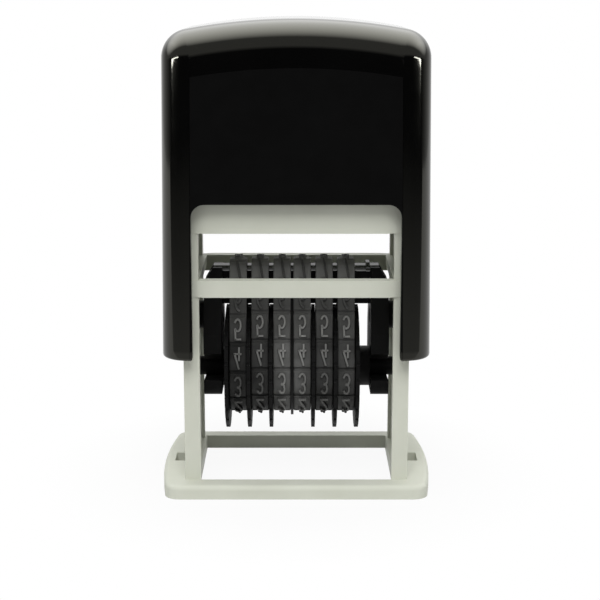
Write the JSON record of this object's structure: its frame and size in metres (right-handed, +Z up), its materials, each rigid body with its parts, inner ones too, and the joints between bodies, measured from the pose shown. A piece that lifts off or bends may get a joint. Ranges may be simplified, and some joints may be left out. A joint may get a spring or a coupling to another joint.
{
  "type": "self-inking band stamp",
  "caption": "Self-inking band stamp: an arched case slides down an open frame and flips a carriage of rubber number bands, set with thumb wheels, over onto the paper.",
  "frame": {"origin": "middle of the underside of the base plate", "axes": "+X to the right of someone facing the notched front, +Y to the back, +Z up along the case's stroke"},
  "size_m": [0.0426, 0.0294, 0.0727],
  "materials": {
    "frame_plastic": "satin moulded light grey",
    "case_plastic": "polished black",
    "carriage_plastic": "satin moulded black",
    "wheel_plastic": "satin moulded black",
    "band_rubber": "matt moulded dark grey",
    "steel": "bright drawn steel"
  },
  "bodies": {
    "frame": {"frame": "frame_plastic", "return_spring": "steel"},
    "case": {"case": "case_plastic"},
    "carriage": {"carriage": "carriage_plastic", "pivot_pins": "steel", "wheel_axle": "wheel_plastic", "axle_collar": "carriage_plastic", "center_divider": "carriage_plastic", "nose_bar": "steel", "nose_clip": "steel", "band_1": "band_rubber", "band_2": "band_rubber", "band_3": "band_rubber", "band_4": "band_rubber", "band_5": "band_rubber", "band_6": "band_rubber"},
    "wheel_1": {"wheel_1": "wheel_plastic"},
    "wheel_2": {"wheel_2": "wheel_plastic"},
    "wheel_3": {"wheel_3": "wheel_plastic"},
    "wheel_4": {"wheel_4": "wheel_plastic"},
    "wheel_5": {"wheel_5": "wheel_plastic"},
    "wheel_6": {"wheel_6": "wheel_plastic"}
  },
  "joints": [
    {"name": "case_press", "type": "slide", "parent": "frame", "child": "case", "axis": [0, 0, 1], "range_m": [-0.0164, 0], "stiffness_N_per_m": 500, "springref_m": 0.008, "deforming": ["return_spring"]},
    {"name": "carriage_flip", "type": "hinge", "parent": "case", "child": "carriage", "pos_m": [0, 0, 0.026], "axis": [1, 0, 0], "range_deg": [0, 180]},
    {"name": "wheel_1_turn", "type": "hinge", "parent": "carriage", "child": "wheel_1", "pos_m": [0, 0, 0.01757], "axis": [1, 0, 0], "continuous": true},
    {"name": "wheel_2_turn", "type": "hinge", "parent": "carriage", "child": "wheel_2", "pos_m": [0, 0, 0.01757], "axis": [1, 0, 0], "continuous": true},
    {"name": "wheel_3_turn", "type": "hinge", "parent": "carriage", "child": "wheel_3", "pos_m": [0, 0, 0.01757], "axis": [1, 0, 0], "continuous": true},
    {"name": "wheel_4_turn", "type": "hinge", "parent": "carriage", "child": "wheel_4", "pos_m": [0, 0, 0.01757], "axis": [1, 0, 0], "continuous": true},
    {"name": "wheel_5_turn", "type": "hinge", "parent": "carriage", "child": "wheel_5", "pos_m": [0, 0, 0.01757], "axis": [1, 0, 0], "continuous": true},
    {"name": "wheel_6_turn", "type": "hinge", "parent": "carriage", "child": "wheel_6", "pos_m": [0, 0, 0.01757], "axis": [1, 0, 0], "continuous": true}
  ],
  "couplings": [
    {"joint": "carriage_flip", "follows": "case_press", "rad_per_m": -191.55}
  ]
}
